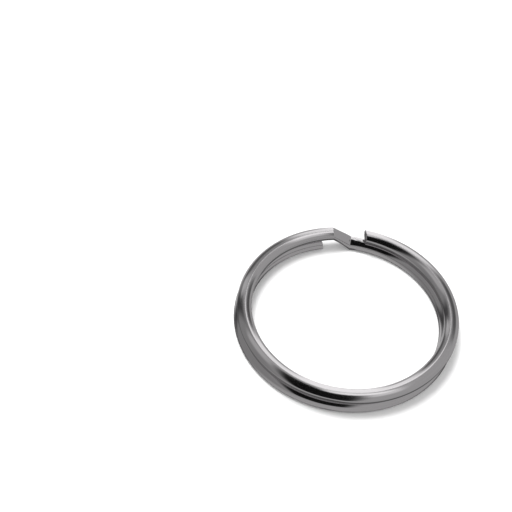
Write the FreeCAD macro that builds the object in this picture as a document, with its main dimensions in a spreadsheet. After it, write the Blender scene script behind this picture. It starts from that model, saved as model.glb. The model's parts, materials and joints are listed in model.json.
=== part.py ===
"""Split key ring: one spring-steel wire coiled two turns, with a crank where it changes level.

The wire is rolled. Each turn has a broad land on its free side, rounded flanks, and a narrower flat
on which the two turns lie on each other.
It is built as a row of stretches, each a body of its own, from the cut end of the lower turn,
once round the lower turn, up the crossover crank, and once round the upper turn to its cut end.

Frame: +Z is up, Z = 0 is the underside the ring rests on, and the origin is the centre of the eye.
Azimuths run anticlockwise from +X seen from above. +Y is the side of the crank and the cut ends.
They keep growing along the wire, so the same place one turn later is 360 degrees more.
"""
import FreeCAD, Part
import math
import os

import Sketcher

# Driving dimensions, in millimetres and degrees.
DIMENSIONS = {
    "outer_diameter": 32.0,       # of each turn
    "wire_width": 2.15,           # of the wire, across the turn
    "wire_height": 1.62,          # of one turn
    "mating_width": 0.9,          # flat on which the turns lie on each other
    "land_width": 1.2,            # broad flat on the free side, on which the ring rests
    "turn_offset": 0.34,          # by which the upper turn sits off the lower one
    "offset_azimuth": 22.0,       # direction of that offset
    "edge_break": 0.12,           # deburred edge round both cut ends
    "lower_end_azimuth": 113.0,
    "lower_tip_azimuth": 123.0,
    "lower_hinge_azimuth": 270.0,   # opposite the crank, where the opening wire twists most
    "crank_foot_azimuth": 455.0,
    "crank_head_azimuth": 467.0,
    "upper_hinge_azimuth": 630.0,   # the same side, one turn later
    "upper_tip_azimuth": 798.0,
    "upper_end_azimuth": 808.0,
}

# Stretches that make up each turn: name, how many, and the azimuths they share evenly.
LOWER_TURN = [
    ("lower_cut_end", 1, "lower_end", "lower_tip"),
    ("lower_turn", 3, "lower_tip", "lower_hinge"),
    ("lower_turn", 4, "lower_hinge", "crank_foot"),
]
UPPER_TURN = [
    ("upper_turn", 4, "crank_head", "upper_hinge"),
    ("upper_turn", 4, "upper_hinge", "upper_tip"),
    ("upper_cut_end", 1, "upper_tip", "upper_end"),
]

doc = FreeCAD.newDocument("split_key_ring")
sheet = doc.addObject("Spreadsheet::Sheet", "Dimensions")
for row, (alias, number) in enumerate(DIMENSIONS.items(), start=1):
    sheet.set(f"A{row}", alias)
    sheet.set(f"B{row}", str(number))
    sheet.setAlias(f"B{row}", alias)
doc.recompute()


def evaluate(rule):
    """Value of a rule on the sheet's cells, such as 'Dimensions.wire_width / 2'."""
    return float(sheet.evalExpression(rule))


def flat_vector(point):
    return FreeCAD.Vector(point[0], point[1], 0)


def side_arc(start, end, widest):
    """Anticlockwise arc that is vertical at the widest point and ends at the corner of a flat."""
    corner = end if start == widest else start
    across = corner[0] - widest[0]
    up = corner[1] - widest[1]
    reach = (across ** 2 + up ** 2) / (2 * across)
    centre = (widest[0] + reach, widest[1])
    first = math.atan2(start[1] - centre[1], start[0] - centre[0])
    last = math.atan2(end[1] - centre[1], end[0] - centre[0])
    if last < first:
        last += math.tau
    circle = Part.Circle(flat_vector(centre), FreeCAD.Vector(0, 0, 1), abs(reach))
    return Part.ArcOfCircle(circle, first, last)


def wire_section(body, name, land_up, offset=FreeCAD.Placement()):
    """Sketch of the wire's section on the body's XZ plane, with its lower flat on the X axis.

    The outline runs anticlockwise: lower flat, two outer arcs, upper flat, two inner arcs.
    """
    lower_flat, upper_flat = "Dimensions.mating_width", "Dimensions.land_width"
    land_rise = "(Dimensions.wire_width - Dimensions.land_width) / 2"
    widest_rule = f"Dimensions.wire_height - {land_rise}"
    if not land_up:
        lower_flat, upper_flat = upper_flat, lower_flat
        widest_rule = land_rise
    mean_radius = "(Dimensions.outer_diameter - Dimensions.wire_width) / 2"
    rules = {
        "lower_inner": f"{mean_radius} - {lower_flat} / 2",
        "upper_inner": f"{mean_radius} - {upper_flat} / 2",
        "wide_outer": "Dimensions.outer_diameter / 2",
        "wide_inner": "Dimensions.outer_diameter / 2 - Dimensions.wire_width",
    }
    height = evaluate("Dimensions.wire_height")
    widest = evaluate(widest_rule)
    low_in = (evaluate(rules["lower_inner"]), 0.0)
    low_out = (low_in[0] + evaluate(lower_flat), 0.0)
    top_in = (evaluate(rules["upper_inner"]), height)
    top_out = (top_in[0] + evaluate(upper_flat), height)
    wide_in = (evaluate(rules["wide_inner"]), widest)
    wide_out = (evaluate(rules["wide_outer"]), widest)

    sketch = body.newObject("Sketcher::SketchObject", name)
    plane = next(item for item in body.Origin.OriginFeatures if item.Role == "XZ_Plane")
    sketch.AttachmentSupport = [(plane, "")]
    sketch.MapMode = "FlatFace"
    sketch.AttachmentOffset = offset
    sketch.addGeometry([
        Part.LineSegment(flat_vector(low_in), flat_vector(low_out)),
        side_arc(low_out, wide_out, wide_out),
        side_arc(wide_out, top_out, wide_out),
        Part.LineSegment(flat_vector(top_out), flat_vector(top_in)),
        side_arc(top_in, wide_in, wide_in),
        side_arc(wide_in, low_in, wide_in),
    ], False)

    edges = sketch.GeometryCount
    origin, start, end, centre = -1, 1, 2, 3     # point positions as the sketcher numbers them
    for edge in range(edges):
        sketch.addConstraint(Sketcher.Constraint("Coincident", edge, end, (edge + 1) % edges, start))
    for flat in (0, 3):
        sketch.addConstraint(Sketcher.Constraint("Horizontal", flat))
    sketch.addConstraint(Sketcher.Constraint("PointOnObject", 0, start, -1))
    for edge, position in ((1, end), (2, start), (4, end), (5, start)):
        sketch.addConstraint(Sketcher.Constraint("Horizontal", edge, centre, edge, position))

    sizes = [
        ("lower_flat", "DistanceX", (0, start, 0, end), lower_flat),
        ("upper_flat", "DistanceX", (3, end, 3, start), upper_flat),
        ("lower_inner", "DistanceX", (origin, start, 0, start), rules["lower_inner"]),
        ("upper_inner", "DistanceX", (origin, start, 3, end), rules["upper_inner"]),
        ("wide_outer", "DistanceX", (origin, start, 1, end), rules["wide_outer"]),
        ("wide_inner", "DistanceX", (origin, start, 4, end), rules["wide_inner"]),
        ("turn_height", "DistanceY", (0, start, 3, end), "Dimensions.wire_height"),
        ("wide_height_out", "DistanceY", (0, end, 1, end), widest_rule),
        ("wide_height_in", "DistanceY", (0, start, 4, end), widest_rule),
    ]
    for label, kind, points, rule in sizes:
        index = sketch.addConstraint(Sketcher.Constraint(kind, *points, evaluate(rule)))
        sketch.renameConstraint(index, label)
        sketch.setExpression(f"Constraints.{label}", rule)
    return sketch


def turn_centre(is_upper):
    """Middle of a turn's underside: the two turns sit half the offset to either side of the origin."""
    turned = FreeCAD.Rotation(FreeCAD.Vector(0, 0, 1), evaluate("Dimensions.offset_azimuth"))
    half_offset = turned.multVec(FreeCAD.Vector(evaluate("Dimensions.turn_offset / 2"), 0, 0))
    if is_upper:
        return half_offset + FreeCAD.Vector(0, 0, evaluate("Dimensions.wire_height"))
    return -half_offset


def wire_stretch(name, is_upper, start_rule, sweep_rule):
    """One arc of a turn, swept anticlockwise from its start azimuth."""
    body = doc.addObject("PartDesign::Body", name)
    body.Label = name
    section = wire_section(body, f"{name}_section", land_up=is_upper)
    arc = body.newObject("PartDesign::Revolution", f"{name}_arc")
    arc.Profile = section
    arc.ReferenceAxis = (section, ["V_Axis"])
    arc.Angle = evaluate(sweep_rule)
    arc.setExpression("Angle", sweep_rule)
    turned = FreeCAD.Rotation(FreeCAD.Vector(0, 0, 1), evaluate(start_rule))
    body.Placement = FreeCAD.Placement(turn_centre(is_upper), turned)
    return body


def turn_of_stretches(runs, is_upper):
    """All the stretches of one turn. The ones between its ends are numbered along the wire."""
    bodies = []
    numbered = 0
    for name, count, first, last in runs:
        start = f"Dimensions.{first}_azimuth"
        sweep = f"(Dimensions.{last}_azimuth - {start}) / {count}"
        for step in range(count):
            label = name
            if not name.endswith("cut_end"):
                numbered += 1
                label = f"{name}_{numbered}"
            bodies.append(wire_stretch(label, is_upper, f"{start} + {sweep} * {step}", sweep))
    return bodies


def break_end_edges(body, at_start):
    """Small chamfer all round the cut face of an end stretch."""
    arc = body.Tip
    nearly_parallel = 0.01     # radians
    doc.recompute()
    turned = FreeCAD.Rotation(FreeCAD.Vector(0, 0, 1), 0.0 if at_start else arc.Angle.Value)
    outward = turned.multVec(FreeCAD.Vector(0, -1 if at_start else 1, 0))
    for number, face in enumerate(arc.Shape.Faces, start=1):
        if isinstance(face.Surface, Part.Plane) and face.normalAt(0, 0).getAngle(outward) < nearly_parallel:
            chamfer = body.newObject("PartDesign::Chamfer", f"{body.Name}_edge")
            chamfer.Base = (arc, [f"Face{number}"])
            chamfer.Size = evaluate("Dimensions.edge_break")
            chamfer.setExpression("Size", "Dimensions.edge_break")
            return
    raise RuntimeError(f"{body.Label}: cut face not found")


def crossover_crank():
    """Short straight rise from the foot on the lower turn to the head on the upper turn.

    The wire's land faces down on the lower turn and up on the upper one, so the section
    changes over along the crank.
    """
    body = doc.addObject("PartDesign::Body", "crossover_crank")
    body.Label = "crossover_crank"
    sections = []
    for end_name, is_upper in (("foot", False), ("head", True)):
        place = turn_centre(is_upper)
        in_plane = FreeCAD.Vector(place.x, place.z, -place.y)      # the XZ plane's own directions
        azimuth = evaluate(f"Dimensions.crank_{end_name}_azimuth")
        turned = FreeCAD.Rotation(FreeCAD.Vector(0, 1, 0), azimuth)
        offset = FreeCAD.Placement(in_plane, turned)
        sections.append(wire_section(body, f"crank_{end_name}", is_upper, offset))
    rise = body.newObject("PartDesign::AdditiveLoft", "crank_rise")
    rise.Profile = sections[0]
    rise.Sections = sections[1:]
    rise.Ruled = True
    return body


stretches = turn_of_stretches(LOWER_TURN, is_upper=False)
break_end_edges(stretches[0], at_start=True)
stretches.append(crossover_crank())
stretches += turn_of_stretches(UPPER_TURN, is_upper=True)
break_end_edges(stretches[-1], at_start=False)
doc.recompute()

for item in doc.Objects:
    if "Invalid" in item.State or "Error" in item.State:
        raise RuntimeError(f"{item.Label} failed: {item.State}")
for body in stretches:
    if body.Shape.isNull() or not body.Shape.isValid():
        raise RuntimeError(f"{body.Label} has no valid shape")

os.makedirs("parts", exist_ok=True)
for body in stretches:
    body.Shape.exportStep(f"parts/{body.Label}.step")
    print(f"{body.Label}: {body.Shape.Volume:.2f} mm3")
print(f"{len(stretches)} stretches, {sum(body.Shape.Volume for body in stretches):.1f} mm3 of steel")
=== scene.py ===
import json
import math

import bpy
import numpy as np
from mathutils import Euler, Matrix, Vector


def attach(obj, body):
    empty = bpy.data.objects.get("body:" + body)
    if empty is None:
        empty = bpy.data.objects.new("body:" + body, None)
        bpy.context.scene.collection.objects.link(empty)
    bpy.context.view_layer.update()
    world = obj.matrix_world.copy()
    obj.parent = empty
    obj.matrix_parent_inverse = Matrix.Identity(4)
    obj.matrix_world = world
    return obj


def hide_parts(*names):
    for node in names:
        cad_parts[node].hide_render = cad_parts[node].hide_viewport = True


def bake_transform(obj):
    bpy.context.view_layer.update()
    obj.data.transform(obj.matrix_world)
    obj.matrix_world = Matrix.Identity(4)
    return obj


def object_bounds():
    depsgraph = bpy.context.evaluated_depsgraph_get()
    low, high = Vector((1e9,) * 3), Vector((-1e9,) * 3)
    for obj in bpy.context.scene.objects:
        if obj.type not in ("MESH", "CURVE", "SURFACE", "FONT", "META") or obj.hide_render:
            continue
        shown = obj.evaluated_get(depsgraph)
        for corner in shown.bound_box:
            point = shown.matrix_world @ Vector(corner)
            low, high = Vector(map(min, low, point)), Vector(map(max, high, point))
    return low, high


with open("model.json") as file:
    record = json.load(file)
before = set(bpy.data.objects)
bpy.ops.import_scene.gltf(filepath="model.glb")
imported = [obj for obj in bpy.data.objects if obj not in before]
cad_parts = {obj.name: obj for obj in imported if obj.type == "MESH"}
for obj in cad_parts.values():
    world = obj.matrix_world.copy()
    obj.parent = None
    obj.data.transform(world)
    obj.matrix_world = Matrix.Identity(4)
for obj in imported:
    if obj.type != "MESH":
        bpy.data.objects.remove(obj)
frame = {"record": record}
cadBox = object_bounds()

# The ring is one plated wire. It is swept in a single go, so that reflections run on across its
# stretches, and then cut at the same azimuths as the CAD nodes that the stretches replace.

mm = 0.001
joints = {joint["name"]: joint for joint in frame["record"]["behaviour"]["joints"]}
# Each hinge line touches its turn's outer edge, opposite the split.
lowerHinge = Vector(joints["lower_end_opening"]["pos_m"])
upperHinge = Vector(joints["upper_end_opening"]["pos_m"])

wire = {
    "outerRadius": -(lowerHinge.y + upperHinge.y) / 2,
    "offsetX": upperHinge.x - lowerHinge.x,   # from the lower turn's centre to the upper one's
    "offsetY": upperHinge.y - lowerHinge.y,
    "height": upperHinge.z,        # of one turn
    "width": 2.15 * mm,
    "landRise": 0.49 * mm,         # from the widest level to the broad, nearly flat free side
    "landPower": 1.0,              # 1 is an ellipse, less is squarer
    "matingPower": 0.856,
    "lowerEnd": 113.0,             # azimuths in degrees, growing along the wire
    "crankFoot": 455.0,
    "crankHead": 467.0,
    "upperEnd": 808.0,
    "hingeAt": 270.0,              # opposite the split, and again one turn later
    "cutEnd": 10.0,                # degrees of wire in each cut end's own CAD node
    "lowerNodes": (3, 4),          # CAD nodes of each turn before and after its hinge line
    "upperNodes": (4, 4),
    "step": 0.75,                  # degrees between sections
    "crankStep": 0.25,
    "around": 96,                  # points round one section
    "edgeBreak": 0.12 * mm,        # deburred edge of a cut end
    "edgeSteps": 5,
    "cutSlant": 17.0,              # how far the shear cut is off square
    "slantReach": 9.0,             # degrees of wire that the slant fades over
    "footTwist": 15.0,             # how far the wire rolls inwards at the crank's foot
    "twistReach": 7.0,
    "wobble": 0.006 * mm,          # unevenness left by coiling
    "wobbleLength": 9 * mm,
    "seed": 4,
}


def toLinear(hexColour):
    channels = [int(hexColour[i:i + 2], 16) / 255 for i in (1, 3, 5)]
    return [c / 12.92 if c <= 0.04045 else ((c + 0.055) / 1.055) ** 2.4 for c in channels] + [1.0]


def addNode(tree, kind, inputs=None, output=0, **settings):
    node = tree.nodes.new(kind)
    for name, value in settings.items():
        setattr(node, name, value)
    for socket, value in (inputs or {}).items():
        if isinstance(value, bpy.types.NodeSocket):
            tree.links.new(value, node.inputs[socket])
        else:
            node.inputs[socket].default_value = value
    return node.outputs[output] if node.outputs else node


def addFormula(tree, values, lines):      # each line: result, operation, operands by name or number
    for result, operation, *operands in lines:
        inputs = {place: values.get(operand, operand) for place, operand in enumerate(operands)}
        values[result] = addNode(tree, "ShaderNodeMath", inputs, operation=operation)
    return values


def springWireTree():
    tree = bpy.data.node_groups.new("springWire", "GeometryNodeTree")
    face = tree.interface
    face.new_socket("Stations", in_out="INPUT", socket_type="NodeSocketGeometry")
    face.new_socket("Surface", in_out="OUTPUT", socket_type="NodeSocketGeometry")
    sizes = ["outerRadius", "offsetX", "offsetY", "height", "width", "landRise", "landPower",
             "matingPower", "crankFoot", "crankHead", "wobble", "wobbleLength", "seed"]
    for name in sizes:
        face.new_socket(name, in_out="INPUT", socket_type="NodeSocketFloat")
    face.new_socket("around", in_out="INPUT", socket_type="NodeSocketInt")
    face.new_socket("material", in_out="INPUT", socket_type="NodeSocketMaterial")
    given = tree.nodes.new("NodeGroupInput").outputs

    outline = addNode(tree, "GeometryNodeCurvePrimitiveCircle",
                      {"Resolution": given["around"], "Radius": mm})
    index = addNode(tree, "GeometryNodeInputIndex")
    share = addNode(tree, "ShaderNodeMath", {0: index, 1: given["around"]}, operation="DIVIDE")
    outline = addNode(tree, "GeometryNodeStoreNamedAttribute",
                      {"Geometry": outline, "Name": "share", "Value": share})
    path = addNode(tree, "GeometryNodeMeshToCurve", {"Mesh": given["Stations"]})
    skin = addNode(tree, "GeometryNodeCurveToMesh",
                   {"Curve": path, "Profile Curve": outline, "Fill Caps": True})

    values = {name: given[name] for name in sizes}
    for name in ("azimuth", "inset", "shear", "twist", "share"):
        values[name] = addNode(tree, "GeometryNodeInputNamedAttribute", {"Name": name})
    values["level"] = addNode(tree, "ShaderNodeMapRange", {
        "Value": values["azimuth"], "From Min": given["crankFoot"], "From Max": given["crankHead"]})
    addFormula(tree, values, [
        ("turn", "MULTIPLY", "share", math.tau),
        ("across", "COSINE", "turn"),
        ("upward", "SINE", "turn"),
        ("isAbove", "GREATER_THAN", "upward", 0.0),
        ("matingRise", "SUBTRACT", "height", "landRise"),
    ])
    # The land faces down on the lower turn and up on the upper one, so the section changes over
    # along the crank.
    values["below"] = addNode(tree, "ShaderNodeMix", {
        0: values["level"], 2: given["landRise"], 3: values["matingRise"]})
    belowPower = addNode(tree, "ShaderNodeMix", {
        0: values["level"], 2: given["landPower"], 3: given["matingPower"]})
    abovePower = addNode(tree, "ShaderNodeMix", {
        0: values["level"], 2: given["matingPower"], 3: given["landPower"]})
    values["power"] = addNode(tree, "ShaderNodeMix", {
        0: values["isAbove"], 2: belowPower, 3: abovePower})
    addFormula(tree, values, [
        ("above", "SUBTRACT", "height", "below"),
        ("belowDown", "MULTIPLY", "below", -1.0),
        ("half", "MULTIPLY", "width", 0.5),
        ("middle", "MULTIPLY", "height", 0.5),
    ])
    values["rise"] = addNode(tree, "ShaderNodeMix", {
        0: values["isAbove"], 2: values["belowDown"], 3: values["above"]})
    addFormula(tree, values, [
        ("side", "SIGN", "across"),
        ("acrossSize", "ABSOLUTE", "across"),
        ("acrossSize", "POWER", "acrossSize", "power"),
        ("x", "MULTIPLY", "side", "acrossSize"),
        ("x", "MULTIPLY", "x", "half"),
        ("upwardSize", "ABSOLUTE", "upward"),
        ("upwardSize", "POWER", "upwardSize", "power"),
        ("z", "MULTIPLY_ADD", "rise", "upwardSize", "below"),
        ("z", "SUBTRACT", "z", "middle"),
        ("keep", "SUBTRACT", 1.0, "inset"),                 # cut ends draw in to their edge break
        ("x", "MULTIPLY", "x", "keep"),
        ("z", "MULTIPLY", "z", "keep"),
        ("twistCosine", "COSINE", "twist"),
        ("twistSine", "SINE", "twist"),
        ("xByCosine", "MULTIPLY", "x", "twistCosine"),
        ("zBySine", "MULTIPLY", "z", "twistSine"),
        ("xBySine", "MULTIPLY", "x", "twistSine"),
        ("zByCosine", "MULTIPLY", "z", "twistCosine"),
        ("x", "SUBTRACT", "xByCosine", "zBySine"),
        ("z", "ADD", "xBySine", "zByCosine"),
        ("lift", "ADD", "level", 0.5),
        ("z", "MULTIPLY_ADD", "lift", "height", "z"),
        ("meanRadius", "SUBTRACT", "outerRadius", "half"),
        ("angle", "RADIANS", "azimuth"),
        ("along", "MULTIPLY", "angle", "meanRadius"),
        ("along", "DIVIDE", "along", "wobbleLength"),
        ("along", "ADD", "along", "seed"),
        ("slide", "MULTIPLY", "shear", "x"),
        ("slide", "DIVIDE", "slide", "meanRadius"),
        ("angle", "ADD", "angle", "slide"),
    ])
    values["noise"] = addNode(tree, "ShaderNodeTexNoise",
                              {"W": values["along"], "Scale": 1.0, "Detail": 1.0},
                              noise_dimensions="1D")
    addFormula(tree, values, [
        ("noise", "SUBTRACT", "noise", 0.5),
        ("wobbled", "MULTIPLY", "noise", "wobble"),
        ("radius", "ADD", "meanRadius", "x"),
        ("radius", "ADD", "radius", "wobbled"),
        ("cosine", "COSINE", "angle"),
        ("sine", "SINE", "angle"),
        ("placeX", "MULTIPLY", "radius", "cosine"),
        ("placeY", "MULTIPLY", "radius", "sine"),
        ("fromMiddle", "SUBTRACT", "level", 0.5),
        ("placeX", "MULTIPLY_ADD", "fromMiddle", "offsetX", "placeX"),
        ("placeY", "MULTIPLY_ADD", "fromMiddle", "offsetY", "placeY"),
    ])
    place = addNode(tree, "ShaderNodeCombineXYZ", {
        0: values["placeX"], 1: values["placeY"], 2: values["z"]})
    skin = addNode(tree, "GeometryNodeSetPosition", {"Geometry": skin, "Position": place})
    skin = addNode(tree, "GeometryNodeRealizeInstances", {"Geometry": skin})
    skin = addNode(tree, "GeometryNodeSetMaterial", {"Geometry": skin, "Material": given["material"]})
    addNode(tree, "NodeGroupOutput", {"Surface": skin})
    return tree


def stretchCuts():      # azimuths at which the wire is cut, on the CAD nodes' own boundaries
    lowerTip, upperTip = wire["lowerEnd"] + wire["cutEnd"], wire["upperEnd"] - wire["cutEnd"]
    turns = [(lowerTip, wire["hingeAt"], wire["crankFoot"], wire["lowerNodes"]),
             (wire["crankHead"], wire["hingeAt"] + 360, upperTip, wire["upperNodes"])]
    # Each bend takes in one CAD node before its hinge line and one after it.
    lowerBend, upperBend = [(hinge - (hinge - start) / before, hinge + (end - hinge) / after)
                            for start, hinge, end, (before, after) in turns]
    return {"lowerTip": lowerTip, "lowerBend": lowerBend, "upperBend": upperBend, "upperTip": upperTip}


def numbered(name, first, last):
    return [f"{name}_{number}" for number in range(first, last + 1)]


cuts = stretchCuts()
wirePieces = [
    {"name": "lowerCutEnd", "span": (wire["lowerEnd"], cuts["lowerTip"]),
     "nodes": ["lower_cut_end"], "rides": ["lower_leaf"]},
    {"name": "lowerTurnLeaf", "span": (cuts["lowerTip"], cuts["lowerBend"][0]),
     "nodes": numbered("lower_turn", 1, 2), "rides": ["lower_leaf"]},
    {"name": "lowerTurnBend", "span": cuts["lowerBend"],
     "nodes": numbered("lower_turn", 3, 4), "rides": ["lower_leaf", "middle_wire"]},
    {"name": "lowerTurnRise", "span": (cuts["lowerBend"][1], wire["crankFoot"]),
     "nodes": numbered("lower_turn", 5, 7), "rides": ["middle_wire"]},
    {"name": "crossoverCrank", "span": (wire["crankFoot"], wire["crankHead"]),
     "nodes": ["crossover_crank"], "rides": ["middle_wire"]},
    {"name": "upperTurnStart", "span": (wire["crankHead"], cuts["upperBend"][0]),
     "nodes": numbered("upper_turn", 1, 3), "rides": ["middle_wire"]},
    {"name": "upperTurnBend", "span": cuts["upperBend"],
     "nodes": numbered("upper_turn", 4, 5), "rides": ["middle_wire", "upper_leaf"]},
    {"name": "upperTurnLeaf", "span": (cuts["upperBend"][1], cuts["upperTip"]),
     "nodes": numbered("upper_turn", 6, 8), "rides": ["upper_leaf"]},
    {"name": "upperCutEnd", "span": (cuts["upperTip"], wire["upperEnd"]),
     "nodes": ["upper_cut_end"], "rides": ["upper_leaf"]},
]


def stationsOf(wire):      # azimuth, inset, shear and twist of every section along the wire
    azimuths = {boundary for piece in wirePieces for boundary in piece["span"]}
    azimuth = wire["lowerEnd"]
    fineFrom, fineTo = wire["crankFoot"] - wire["twistReach"], wire["crankHead"] + wire["twistReach"]
    while azimuth < wire["upperEnd"]:
        azimuths.add(azimuth)
        azimuth += wire["crankStep"] if fineFrom <= azimuth < fineTo else wire["step"]
    breakAngle = math.degrees(wire["edgeBreak"] / (wire["outerRadius"] - wire["width"] / 2))
    insets = {azimuth: 0.0 for azimuth in azimuths
              if wire["lowerEnd"] + breakAngle < azimuth < wire["upperEnd"] - breakAngle}
    for step in range(wire["edgeSteps"] + 1):
        bend = math.pi / 2 * step / wire["edgeSteps"]
        inward = breakAngle * (1 - math.cos(bend))
        inset = wire["edgeBreak"] * (1 - math.sin(bend)) / (wire["width"] / 2)
        insets[wire["lowerEnd"] + inward] = inset
        insets[wire["upperEnd"] - inward] = inset
    slant = math.tan(math.radians(wire["cutSlant"]))
    rows = []
    for azimuth in sorted(insets):
        toEnd = min(azimuth - wire["lowerEnd"], wire["upperEnd"] - azimuth)
        shear = slant * max(0.0, 1 - toEnd / wire["slantReach"])
        fromFoot = abs(azimuth - wire["crankFoot"]) / wire["twistReach"]
        twist = math.radians(wire["footTwist"]) * (1 + math.cos(math.pi * min(fromFoot, 1.0))) / 2
        rows.append((azimuth, insets[azimuth], shear, twist))
    return rows


def sweepWire(wire, material):      # whole wire as an array of points, section by section
    stations = stationsOf(wire)
    mesh = bpy.data.meshes.new("stations")
    mesh.from_pydata([(math.radians(row[0]) * wire["outerRadius"], 0, 0) for row in stations],
                     [(i, i + 1) for i in range(len(stations) - 1)], [])
    for column, name in enumerate(("azimuth", "inset", "shear", "twist")):
        layer = mesh.attributes.new(name, "FLOAT", "POINT").data
        layer.foreach_set("value", [row[column] for row in stations])
    holder = bpy.data.objects.new("stations", mesh)
    bpy.context.scene.collection.objects.link(holder)
    tree = springWireTree()
    modifier = holder.modifiers.new("springWire", "NODES")
    modifier.node_group = tree
    values = dict(wire, seed=float(wire["seed"]), material=material)
    for item in tree.interface.items_tree:
        if item.in_out == "INPUT" and item.name in values:
            modifier[item.identifier] = values[item.name]
    bpy.context.view_layer.update()
    evaluated = holder.evaluated_get(bpy.context.evaluated_depsgraph_get())
    swept = bpy.data.meshes.new_from_object(evaluated)
    holder.modifiers.remove(modifier)
    bpy.data.objects.remove(holder)
    points = np.empty(len(swept.vertices) * 3)
    swept.vertices.foreach_get("co", points)
    bpy.data.meshes.remove(swept)
    return [row[0] for row in stations], points.reshape(len(stations), wire["around"], 3)


def surfaceNormals(points):      # outward normal at every point, from its neighbours
    along = np.gradient(points, axis=0)
    around = np.roll(points, -1, axis=1) - np.roll(points, 1, axis=1)
    normals = np.cross(along, around)
    return normals / np.linalg.norm(normals, axis=2, keepdims=True)


def cutStretch(piece, azimuths, points, normals, materials):      # closed mesh, shaded as the whole wire is
    first, last = [min(range(len(azimuths)), key=lambda i: abs(azimuths[i] - end)) for end in piece["span"]]
    count = points.shape[1]
    rings = last - first + 1
    faces = []
    for ring in range(rings - 1):
        for spot in range(count):
            here, beside = ring * count + spot, ring * count + (spot + 1) % count
            faces.append((here, here + count, beside + count, beside))
    faces.append(tuple(range(count)))
    faces.append(tuple(reversed(range((rings - 1) * count, rings * count))))
    mesh = bpy.data.meshes.new(piece["name"])
    mesh.from_pydata(points[first:last + 1].reshape(-1, 3).tolist(), [], faces)
    for material in materials:
        mesh.materials.append(material)
    sides = len(faces) - 2
    mesh.polygons[sides].material_index = int(first == 0)      # only the sheared ends show bare steel
    mesh.polygons[sides + 1].material_index = int(last == len(azimuths) - 1)

    length = np.radians(np.array(azimuths[first:last + 1])) * (wire["outerRadius"] - wire["width"] / 2)
    outline = points[first]
    edges = np.linalg.norm(np.diff(outline, axis=0, append=outline[:1]), axis=1)
    girth = np.concatenate([[0], np.cumsum(edges)])
    pointNormals = normals[first:last + 1].reshape(-1, 3)
    uv = mesh.uv_layers.new(name="wireMap")      # metres along and round the wire
    coordinates, loopNormals = [], []
    for number, face in enumerate(mesh.polygons):
        for corner in face.vertices:
            ring, spot = divmod(corner, count)
            wraps = number < sides and spot == 0 and number % count == count - 1
            coordinates += [length[ring], girth[count if wraps else spot]]
            loopNormals.append(pointNormals[corner] if number < sides else face.normal)
    uv.data.foreach_set("uv", coordinates)
    mesh.polygons.foreach_set("use_smooth", [number < sides for number in range(len(faces))])
    mesh.normals_split_custom_set(loopNormals)
    mesh.validate()
    obj = bpy.data.objects.new(piece["name"], mesh)
    bpy.context.scene.collection.objects.link(obj)
    return obj


nickel = {
    "colour": "#d2d0d1",           # bright nickel, a little warmer than chrome
    "lineColour": "#c2bfc1",
    "roughness": 0.07,
    "roughnessSpread": 0.05,       # thin handling haze in patches
    "hazePatch": 5 * mm,
    "hazeFrom": 0.35,              # levels of the noise between which the haze comes in
    "hazeTo": 0.75,
    "drawLineWidth": 0.09 * mm,    # die lines, about twice as coarse as real ones so that they show
    "drawLineLength": 7 * mm,
    "drawLineDepth": 0.0006 * mm,
    "peelSpacing": 0.35 * mm,      # the plating's faint orange peel
    "peelDepth": 0.0004 * mm,
}

sheared = {
    "colour": "#8d8a8b",           # bare carbon steel, dull where the shear tore it
    "burrColour": "#b9b5b5",
    "roughness": 0.38,
    "tearSpacing": 0.12 * mm,
    "tearStretch": (0.2, 1.0, 0.25),   # tears are long up the face and narrow across it
    "tearDepth": 0.01 * mm,
    "tearStrength": 0.6,
}


def newMaterial(name):
    material = bpy.data.materials.new(name)
    material.use_nodes = True
    material.node_tree.nodes.clear()
    return material, material.node_tree


def nickelPlatedSpringSteel():      # rolled wire, plated mirror bright: sharp dark and white bands
    material, tree = newMaterial("nickelPlatedSpringSteel")
    onWire = addNode(tree, "ShaderNodeUVMap", uv_map="wireMap")
    inSpace = addNode(tree, "ShaderNodeTexCoord", output="Object")
    lineScale = (1 / nickel["drawLineLength"], 1 / nickel["drawLineWidth"], 1)
    stretched = addNode(tree, "ShaderNodeMapping", {"Vector": onWire, "Scale": lineScale})
    lines = addNode(tree, "ShaderNodeTexNoise",
                    {"Vector": stretched, "Scale": 1.0, "Detail": 3.0, "Roughness": 0.6})
    haze = addNode(tree, "ShaderNodeTexNoise",
                   {"Vector": inSpace, "Scale": 1 / nickel["hazePatch"], "Detail": 4.0, "Roughness": 0.55})
    peel = addNode(tree, "ShaderNodeTexNoise",
                   {"Vector": inSpace, "Scale": 1 / nickel["peelSpacing"], "Detail": 1.0})
    roughness = addNode(tree, "ShaderNodeMapRange", {
        "Value": haze, "From Min": nickel["hazeFrom"], "From Max": nickel["hazeTo"],
        "To Min": nickel["roughness"], "To Max": nickel["roughness"] + nickel["roughnessSpread"]})
    peeled = addNode(tree, "ShaderNodeBump",
                     {"Height": peel, "Distance": nickel["peelDepth"], "Strength": 1.0})
    scored = addNode(tree, "ShaderNodeBump", {
        "Height": lines, "Distance": nickel["drawLineDepth"], "Strength": 1.0, "Normal": peeled})
    colours = toLinear(nickel["colour"]), toLinear(nickel["lineColour"])
    tint = addNode(tree, "ShaderNodeMix", {0: lines, 6: colours[0], 7: colours[1]},
                   output=2, data_type="RGBA")
    shader = addNode(tree, "ShaderNodeBsdfPrincipled", {
        "Base Color": tint, "Metallic": 1.0, "Roughness": roughness, "Normal": scored})
    addNode(tree, "ShaderNodeOutputMaterial", {"Surface": shader})
    return material


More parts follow.
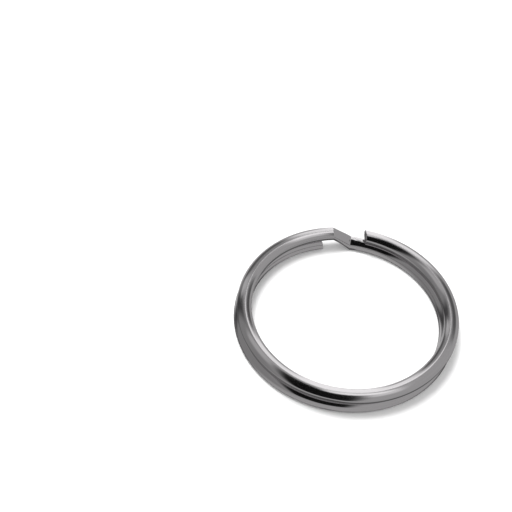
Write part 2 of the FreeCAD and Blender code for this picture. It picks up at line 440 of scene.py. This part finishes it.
def shearedSpringSteel():      # face left by the cutting blade: dull grey, with tear lines up it
    material, tree = newMaterial("shearedSpringSteel")
    inSpace = addNode(tree, "ShaderNodeTexCoord", output="Object")
    squeezed = addNode(tree, "ShaderNodeMapping", {"Vector": inSpace, "Scale": sheared["tearStretch"]})
    tears = addNode(tree, "ShaderNodeTexNoise",
                    {"Vector": squeezed, "Scale": 1 / sheared["tearSpacing"], "Detail": 3.0})
    torn = addNode(tree, "ShaderNodeBump", {
        "Height": tears, "Distance": sheared["tearDepth"], "Strength": sheared["tearStrength"]})
    colours = toLinear(sheared["colour"]), toLinear(sheared["burrColour"])
    colour = addNode(tree, "ShaderNodeMix", {0: tears, 6: colours[0], 7: colours[1]},
                     output=2, data_type="RGBA")
    shader = addNode(tree, "ShaderNodeBsdfPrincipled", {
        "Base Color": colour, "Metallic": 1.0, "Roughness": sheared["roughness"], "Normal": torn})
    addNode(tree, "ShaderNodeOutputMaterial", {"Surface": shader})
    return material


view = {
    "elevation": 50.86,
    "roll": 11.18,
    "distance": 152.7 * mm,
    "lens": 73.91,                 # lens and frame are in millimetres, as Blender takes them
    "frameWidth": 36,
    "ringAcross": 0.0853,          # ring's middle from the middle of the frame, as shares of the distance
    "ringDown": 0.0552,
    "clipStart": 5 * mm,
}


def makeCamera():
    middle = Vector((0, 0, (cadBox[0][2] + cadBox[1][2]) / 2))
    elevation = math.radians(view["elevation"])
    backward = Vector((0, -math.cos(elevation), math.sin(elevation)))
    right = Vector((1, 0, 0))
    upward = backward.cross(right)
    rolled = Matrix.Rotation(math.radians(view["roll"]), 3, backward)
    level = Matrix((right, upward, backward)).transposed()
    pan = math.atan(view["ringAcross"])
    tilt = math.atan(view["ringDown"] * math.cos(pan))
    aim = rolled @ level @ Euler((tilt, pan, 0), "XYZ").to_matrix()
    data = bpy.data.cameras.new("camera")
    data.lens = view["lens"]
    data.sensor_width = view["frameWidth"]
    data.clip_start = view["clipStart"]
    camera = bpy.data.objects.new("camera", data)
    bpy.context.scene.collection.objects.link(camera)
    camera.matrix_world = Matrix.Translation(middle + backward * view["distance"]) @ aim.to_4x4()
    bpy.context.scene.camera = camera


studio = {
    "floorSize": 1.2,
    "floorColour": "#f4f4f4",
    "floorRoughness": 0.9,
    "floorGloss": 0.1,
    "keyPlace": (-0.085, 0.075, 0.30),
    "keySize": 0.15,
    "keyPower": 1.0,
    "fill": 0.88,
    "walls": 0.47,                 # grey all round, as the metal sees it
    "underneath": 0.10,            # and straight below, where each wire shades its own floor
    "shadeFrom": -0.75,            # height of a mirrored direction where that shade starts
    "shadeTo": -0.97,              # and where it is full, with -1 straight down
}


def makeFloor():
    half = studio["floorSize"] / 2
    mesh = bpy.data.meshes.new("floor")
    corners = [(-half, -half, 0), (half, -half, 0), (half, half, 0), (-half, half, 0)]
    mesh.from_pydata(corners, [], [(0, 1, 2, 3)])
    floor = bpy.data.objects.new("floor", mesh)
    floor.visible_glossy = False      # the metal mirrors the studio walls' own shade below it instead
    bpy.context.scene.collection.objects.link(floor)
    material, tree = newMaterial("mattePaperFloor")
    paper = addNode(tree, "ShaderNodeBsdfPrincipled", {
        "Base Color": toLinear(studio["floorColour"]), "Roughness": studio["floorRoughness"],
        "Specular IOR Level": studio["floorGloss"]})
    addNode(tree, "ShaderNodeOutputMaterial", {"Surface": paper})
    mesh.materials.append(material)


def makeKeyLight():
    data = bpy.data.lights.new("softKey", "AREA")
    data.size = studio["keySize"]
    data.energy = studio["keyPower"]
    light = bpy.data.objects.new("softKey", data)
    light.location = studio["keyPlace"]
    light.rotation_euler = (-Vector(studio["keyPlace"])).to_track_quat("-Z", "Y").to_euler()
    light.visible_glossy = False      # the metal mirrors the walls and their cards, not this light
    bpy.context.scene.collection.objects.link(light)


# Cards that the metal mirrors, spread like a fan round the direction that a level part of the wire
# mirrors to the camera. Bearings go round that direction: 0 is to the right, 90 down behind the ring
# and 270 overhead towards the front. Reach is the angle away from it. Soft and fade are how wide a
# card's edges are in bearing and in reach. A card leans when its bearing changes with reach. Later
# cards cover earlier ones, and one whose reach starts below zero covers the middle of the fan. All
# angles are in degrees.
fanElevation = 52.0
cards = {
    "dimLeft": {"bearing": (125, 234), "soft": 20, "reach": (-30, 128), "fade": 24, "light": 0.30},
    "darkRight": {"bearing": (2, 50), "soft": 24, "reach": (8, 30), "fade": 12, "light": 0.12},
    "paleBehind": {"bearing": (54, 122), "soft": 16, "reach": (-30, 30), "fade": 14, "light": 1.2},
    "paleBehindLeft": {"bearing": (98, 150), "soft": 14, "reach": (44, 94), "fade": 14, "light": 0.66},
    "whiteBehind": {"bearing": (80, 104), "soft": 9, "reach": (-30, 92), "fade": 10, "light": 1.35},
    "shadedUnder": {"bearing": (40, 140), "soft": 40, "reach": (99, 210), "fade": 10, "light": 0.10},
    "darkStreak": {"bearing": (184, 202), "soft": 14, "reach": (12, 98), "fade": 20, "light": 0.07,
                   "lean": -0.42},
    "darkPatch": {"bearing": (124, 157), "soft": 9, "reach": (20, 42), "fade": 10, "light": 0.13},
    "paleStreak": {"bearing": (159, 174), "soft": 6, "reach": (-30, 30), "fade": 10, "light": 0.62},
    "paleLeft": {"bearing": (205, 232), "soft": 10, "reach": (-30, 34), "fade": 24, "light": 0.55},
    "blackFront": {"bearing": (237, 288), "soft": 14, "reach": (9, 114), "fade": 14, "light": 0.006},
    "paleOverhead": {"bearing": (290, 312), "soft": 12, "reach": (14, 36), "fade": 16, "light": 0.85},
    "whiteOverhead": {"bearing": (266, 308), "soft": 11, "reach": (-30, 17), "fade": 8, "light": 1.35},
}


def makeWalls():
    world = bpy.data.worlds.new("studio")
    bpy.context.scene.world = world
    world.use_nodes = True
    tree = world.node_tree
    tree.nodes.clear()
    direction = addNode(tree, "ShaderNodeTexCoord", output="Generated")
    turned = addNode(tree, "ShaderNodeMapping", {
        "Vector": direction, "Rotation": (math.radians(90 - fanElevation), 0, 0)})
    axes = addNode(tree, "ShaderNodeSeparateXYZ", {"Vector": turned}).node.outputs
    height = addNode(tree, "ShaderNodeSeparateXYZ", {"Vector": direction}, output="Z")
    values = addFormula(tree, {"x": axes["X"], "y": axes["Y"], "z": axes["Z"]}, [
        ("backX", "MULTIPLY", "x", -1.0),
        ("backY", "MULTIPLY", "y", -1.0),
        ("bearing", "ARCTAN2", "backY", "backX"),
        ("bearing", "DEGREES", "bearing"),
        ("bearing", "ADD", "bearing", 180.0),
        ("reach", "ARCCOSINE", "z"),
        ("reach", "DEGREES", "reach"),
    ])
    walls = addNode(tree, "ShaderNodeMapRange", {
        "Value": height, "From Min": studio["shadeFrom"], "From Max": studio["shadeTo"],
        "To Min": studio["walls"], "To Max": studio["underneath"]}, interpolation_type="SMOOTHSTEP")
    for name, card in cards.items():
        addFormula(tree, values, [("leaning", "MULTIPLY_ADD", "reach", -card.get("lean", 0.0), "bearing")])
        shown = 1.0
        for value, (low, high), soft in (("leaning", card["bearing"], card["soft"]),
                                         ("reach", card["reach"], card["fade"])):
            for edge, inwards in ((low, soft / 2), (high, -soft / 2)):
                shown = addNode(tree, "ShaderNodeMapRange", {
                    "Value": values[value], "From Min": edge - inwards, "From Max": edge + inwards,
                    "To Max": shown}, interpolation_type="SMOOTHSTEP")
        walls = addNode(tree, "ShaderNodeMix", {0: shown, 2: walls, 3: card["light"]}, label=name)
    seenByMetal = addNode(tree, "ShaderNodeLightPath", output="Is Glossy Ray")
    seen = addNode(tree, "ShaderNodeMix", {0: seenByMetal, 2: studio["fill"], 3: walls})
    background = addNode(tree, "ShaderNodeBackground", {"Color": seen, "Strength": 1.0})
    addNode(tree, "ShaderNodeOutputWorld", {"Surface": background})


makeCamera()
makeFloor()
makeKeyLight()
makeWalls()
bpy.context.scene.view_settings.view_transform = "Standard"
print("studio ready")

plated = nickelPlatedSpringSteel()
bare = shearedSpringSteel()
azimuths, points = sweepWire(wire, plated)
normals = surfaceNormals(points)
print("wire swept:", len(azimuths), "sections")

for piece in wirePieces:
    stretch = cutStretch(piece, azimuths, points, normals, [plated, bare])
    if len(piece["rides"]) == 2:
        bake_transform(stretch)
    else:
        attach(stretch, piece["rides"][0])
    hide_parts(*piece["nodes"])
print("stretches cut:", len(wirePieces))
